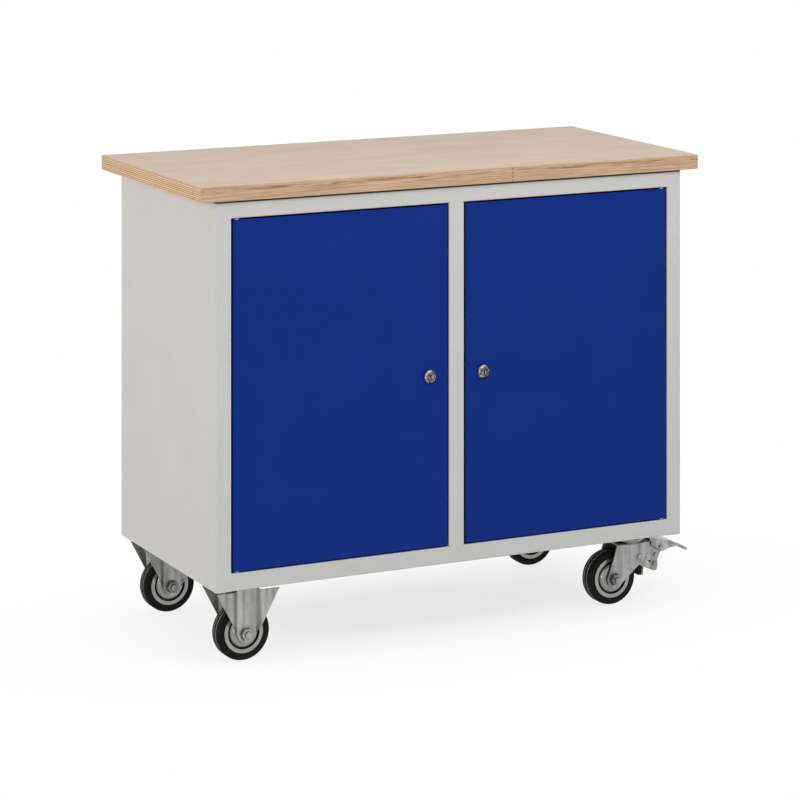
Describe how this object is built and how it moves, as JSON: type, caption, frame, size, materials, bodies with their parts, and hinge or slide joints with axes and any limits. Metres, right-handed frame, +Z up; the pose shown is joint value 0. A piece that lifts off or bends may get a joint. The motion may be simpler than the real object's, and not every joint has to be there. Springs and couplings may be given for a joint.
{
  "type": "tool cabinet with doors",
  "caption": "Mobile workshop cabinet: sheet-steel body with two locking hinged doors and a shelf behind each, under a multiplex worktop, on fixed and braked swivel casters.",
  "frame": {"origin": "on the floor, under the middle of the whole outline (worktop's left edge to the brake pedals' tips, worktop's front to back)", "axes": "+X to the right along the doors, towards the swivel casters; +Y from the doors to the back; +Z up"},
  "size_m": [1.025, 0.48, 0.845],
  "materials": {
    "multiplex": "lacquered beech multiplex, plies showing on the edges",
    "body_paint": "light grey powder coat",
    "door_paint": "ultramarine powder coat",
    "zinc_plate": "bright zinc plating",
    "bright_chrome": "polished",
    "rubber_tyre": "black solid rubber",
    "black_rubber": "black rubber",
    "white_nylon": "natural white nylon"
  },
  "bodies": {
    "cabinet": {"worktop": "multiplex", "worktop_screws": "zinc_plate", "side_panel_left": "body_paint", "side_panel_right": "body_paint", "back_panel": "body_paint", "base_pan": "body_paint", "top_rail": "body_paint", "bottom_rail": "body_paint", "centre_post": "body_paint", "centre_partition": "body_paint", "shelf_uprights": "body_paint", "shelf_clips": "zinc_plate", "shelf_left": "body_paint", "shelf_right": "body_paint", "hinge_pins": "zinc_plate", "caster_channel_left": "body_paint", "caster_channel_right": "body_paint", "caster_bolts": "zinc_plate", "fixed_fork_front": "zinc_plate", "fixed_fork_rear": "zinc_plate", "fixed_axles": "zinc_plate", "swivel_plate_front": "zinc_plate", "swivel_plate_rear": "zinc_plate", "kingpins": "zinc_plate"},
    "left_door": {"left_door_pan": "door_paint", "left_door_stiffener": "door_paint", "left_hinge_bushes": "white_nylon", "left_lock_body": "bright_chrome"},
    "left_lock_key": {"left_lock_plug": "bright_chrome", "left_lock_cam": "zinc_plate"},
    "right_door": {"right_door_pan": "door_paint", "right_door_stiffener": "door_paint", "right_hinge_bushes": "white_nylon", "right_lock_body": "bright_chrome"},
    "right_lock_key": {"right_lock_plug": "bright_chrome", "right_lock_cam": "zinc_plate"},
    "fixed_wheel_front": {"fixed_tyre_front": "rubber_tyre", "fixed_rim_front": "zinc_plate", "fixed_hub_front": "zinc_plate"},
    "swivel_front": {"swivel_fork_front": "zinc_plate", "swivel_axle_front": "zinc_plate", "brake_frame_front": "zinc_plate"},
    "pedal_front": {"brake_pedal_front": "zinc_plate"},
    "shoe_front": {"brake_shoe_front": "zinc_plate", "brake_pad_front": "black_rubber"},
    "swivel_wheel_front": {"swivel_tyre_front": "rubber_tyre", "swivel_rim_front": "zinc_plate", "swivel_hub_front": "zinc_plate"},
    "fixed_wheel_rear": {"fixed_tyre_rear": "rubber_tyre", "fixed_rim_rear": "zinc_plate", "fixed_hub_rear": "zinc_plate"},
    "swivel_rear": {"swivel_fork_rear": "zinc_plate", "swivel_axle_rear": "zinc_plate", "brake_frame_rear": "zinc_plate"},
    "pedal_rear": {"brake_pedal_rear": "zinc_plate"},
    "shoe_rear": {"brake_shoe_rear": "zinc_plate", "brake_pad_rear": "black_rubber"},
    "swivel_wheel_rear": {"swivel_tyre_rear": "rubber_tyre", "swivel_rim_rear": "zinc_plate", "swivel_hub_rear": "zinc_plate"}
  },
  "joints": [
    {"name": "left_door_hinge", "type": "hinge", "parent": "cabinet", "child": "left_door", "pos_m": [-0.4405, -0.224, 0.47875], "axis": [0, 0, -1], "range_deg": [0, 110]},
    {"name": "left_lock_turn", "type": "hinge", "parent": "left_door", "child": "left_lock_key", "pos_m": [-0.0665, -0.231, 0.47875], "axis": [0, -1, 0], "range_deg": [0, 90]},
    {"name": "right_door_hinge", "type": "hinge", "parent": "cabinet", "child": "right_door", "pos_m": [0.4155, -0.224, 0.47875], "axis": [0, 0, 1], "range_deg": [0, 110]},
    {"name": "right_lock_turn", "type": "hinge", "parent": "right_door", "child": "right_lock_key", "pos_m": [0.0415, -0.231, 0.47875], "axis": [0, 1, 0], "range_deg": [0, 90]},
    {"name": "fixed_wheel_front_roll", "type": "hinge", "parent": "cabinet", "child": "fixed_wheel_front", "pos_m": [-0.4045, -0.162, 0.05], "axis": [0, 1, 0], "continuous": true},
    {"name": "swivel_front_turn", "type": "hinge", "parent": "cabinet", "child": "swivel_front", "pos_m": [0.3975, -0.134, 0.114], "axis": [0, 0, 1], "continuous": true},
    {"name": "swivel_wheel_front_roll", "type": "hinge", "parent": "swivel_front", "child": "swivel_wheel_front", "pos_m": [0.3565, -0.134, 0.05], "axis": [0, 1, 0], "continuous": true},
    {"name": "pedal_front_press", "type": "hinge", "parent": "swivel_front", "child": "pedal_front", "pos_m": [0.4545, -0.134, 0.1], "axis": [0, 1, 0], "range_deg": [0, 16]},
    {"name": "shoe_front_press", "type": "slide", "parent": "swivel_front", "child": "shoe_front", "axis": [-1, 0, 0], "range_m": [0, 0.0066]},
    {"name": "fixed_wheel_rear_roll", "type": "hinge", "parent": "cabinet", "child": "fixed_wheel_rear", "pos_m": [-0.4045, 0.184, 0.05], "axis": [0, 1, 0], "continuous": true},
    {"name": "swivel_rear_turn", "type": "hinge", "parent": "cabinet", "child": "swivel_rear", "pos_m": [0.3975, 0.18, 0.114], "axis": [0, 0, 1], "continuous": true},
    {"name": "swivel_wheel_rear_roll", "type": "hinge", "parent": "swivel_rear", "child": "swivel_wheel_rear", "pos_m": [0.3565, 0.18, 0.05], "axis": [0, 1, 0], "continuous": true},
    {"name": "pedal_rear_press", "type": "hinge", "parent": "swivel_rear", "child": "pedal_rear", "pos_m": [0.4545, 0.18, 0.1], "axis": [0, 1, 0], "range_deg": [0, 16]},
    {"name": "shoe_rear_press", "type": "slide", "parent": "swivel_rear", "child": "shoe_rear", "axis": [-1, 0, 0], "range_m": [0, 0.0066]}
  ],
  "couplings": [
    {"joint": "shoe_front_press", "follows": "pedal_front_press", "m_per_rad": 0.023321},
    {"joint": "shoe_rear_press", "follows": "pedal_rear_press", "m_per_rad": 0.023321}
  ]
}
